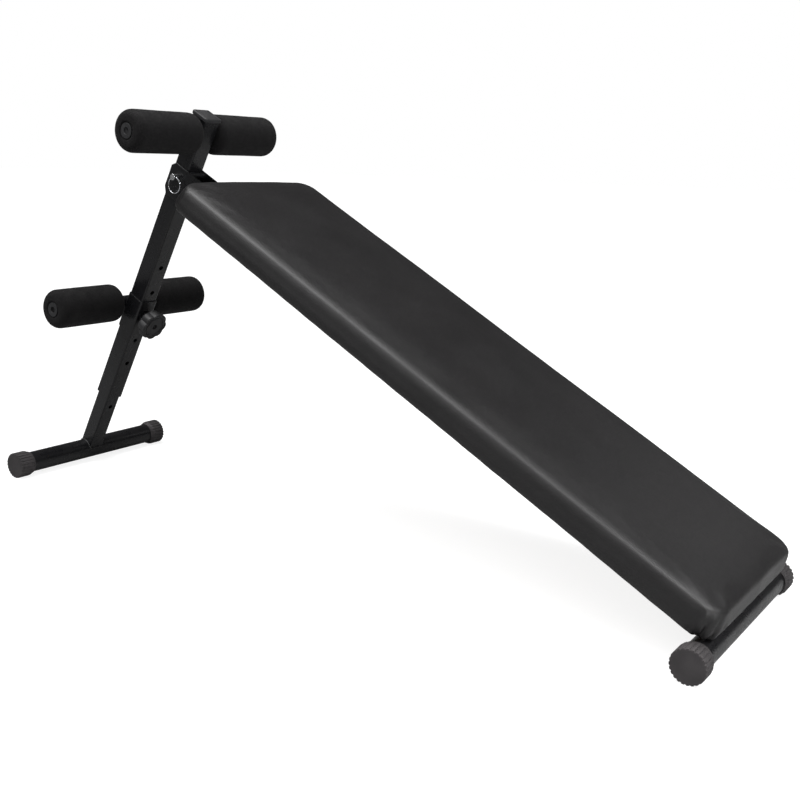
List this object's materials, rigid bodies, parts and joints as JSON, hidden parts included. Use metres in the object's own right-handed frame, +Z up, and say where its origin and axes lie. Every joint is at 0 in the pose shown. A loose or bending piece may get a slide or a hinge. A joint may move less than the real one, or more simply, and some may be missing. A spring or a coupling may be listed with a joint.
{
  "type": "decline sit up bench",
  "caption": "Folding decline bench with a long padded board on a rail, a telescoping leg, and foam leg rollers whose lower pair slides on the leg.",
  "frame": {"origin": "middle of the bench's footprint, on the floor", "axes": "+X along the bench towards its low end, +Y across the bench, +Z up"},
  "size_m": [1.3664, 0.37, 0.6823],
  "materials": {
    "paint": "satin black powder coat",
    "vinyl": "black upholstery vinyl, satin",
    "roller_foam": "matt black closed-cell foam",
    "pad_foam": "open-cell foam, hidden under the cover",
    "plywood": "bare plywood",
    "plastic": "moulded black plastic",
    "cap_rubber": "moulded dark grey rubber",
    "zinc": "bright zinc plate"
  },
  "bodies": {
    "bench_frame": {"main_rail": "paint", "rail_end_plug": "plastic", "front_foot_tube": "paint", "front_foot_cap_left": "cap_rubber", "front_foot_cap_right": "cap_rubber", "hinge_plate_left": "paint", "hinge_plate_right": "paint", "leg_stop_rod": "paint", "pad_board": "plywood", "pad_foam": "pad_foam", "pad_cover": "vinyl", "pad_bracket_1": "paint", "pad_bracket_2": "paint", "pad_bracket_3": "paint", "pad_screw_1_left": "zinc", "pad_screw_1_right": "zinc", "pad_screw_2_left": "zinc", "pad_screw_2_right": "zinc", "pad_screw_3_left": "zinc", "pad_screw_3_right": "zinc"},
    "leg_post": {"post_outer_tube": "paint", "post_top_cap": "plastic", "upper_roller_tube": "paint", "upper_roller_plug_left": "plastic", "upper_roller_plug_right": "plastic"},
    "upper_roller_left": {"upper_roller_foam_left": "roller_foam"},
    "upper_roller_right": {"upper_roller_foam_right": "roller_foam"},
    "leg_foot": {"leg_inner_tube": "paint", "leg_glide_plug": "plastic", "rear_foot_tube": "paint", "rear_foot_cap_left": "cap_rubber", "rear_foot_cap_right": "cap_rubber"},
    "roller_carriage": {"carriage_sleeve": "paint", "carriage_nut": "zinc", "lower_roller_tube": "paint", "lower_roller_plug_left": "plastic", "lower_roller_plug_right": "plastic"},
    "lower_roller_left": {"lower_roller_foam_left": "roller_foam"},
    "lower_roller_right": {"lower_roller_foam_right": "roller_foam"},
    "clamp_knob": {"clamp_knob": "plastic", "clamp_stud": "zinc"},
    "hinge_pin": {"hinge_pin": "zinc"},
    "pull_ring": {"pull_ring": "zinc"}
  },
  "joints": [
    {"name": "leg_fold", "type": "hinge", "parent": "bench_frame", "child": "leg_post", "pos_m": [-0.37052, 0, 0.56697], "axis": [0, -1, 0], "range_deg": [0, 64]},
    {"name": "leg_height", "type": "slide", "parent": "leg_post", "child": "leg_foot", "axis": [-0.4695, 0, -0.8829], "range_m": [-0.1076, 0.1076]},
    {"name": "lower_roller_height", "type": "slide", "parent": "leg_post", "child": "roller_carriage", "axis": [0.4695, 0, 0.8829], "range_m": [-0.1076, 0.1076]},
    {"name": "knob_turn", "type": "hinge", "parent": "roller_carriage", "child": "clamp_knob", "pos_m": [-0.47964, 0, 0.30147], "axis": [0.8829, 0, -0.4695], "continuous": true},
    {"name": "pin_pull", "type": "slide", "parent": "bench_frame", "child": "hinge_pin", "axis": [0, -1, 0], "range_m": [0, 0.05]},
    {"name": "ring_swing", "type": "hinge", "parent": "hinge_pin", "child": "pull_ring", "pos_m": [-0.37052, -0.0269, 0.56697], "axis": [-1, 0, 0], "range_deg": [-8, 165]},
    {"name": "upper_roller_left_spin", "type": "hinge", "parent": "leg_post", "child": "upper_roller_left", "pos_m": [-0.33156, 0, 0.64026], "axis": [0, 1, 0], "continuous": true},
    {"name": "upper_roller_right_spin", "type": "hinge", "parent": "leg_post", "child": "upper_roller_right", "pos_m": [-0.33156, 0, 0.64026], "axis": [0, 1, 0], "continuous": true},
    {"name": "lower_roller_left_spin", "type": "hinge", "parent": "roller_carriage", "child": "lower_roller_left", "pos_m": [-0.52953, 0, 0.33332], "axis": [0, 1, 0], "continuous": true},
    {"name": "lower_roller_right_spin", "type": "hinge", "parent": "roller_carriage", "child": "lower_roller_right", "pos_m": [-0.52953, 0, 0.33332], "axis": [0, 1, 0], "continuous": true}
  ]
}
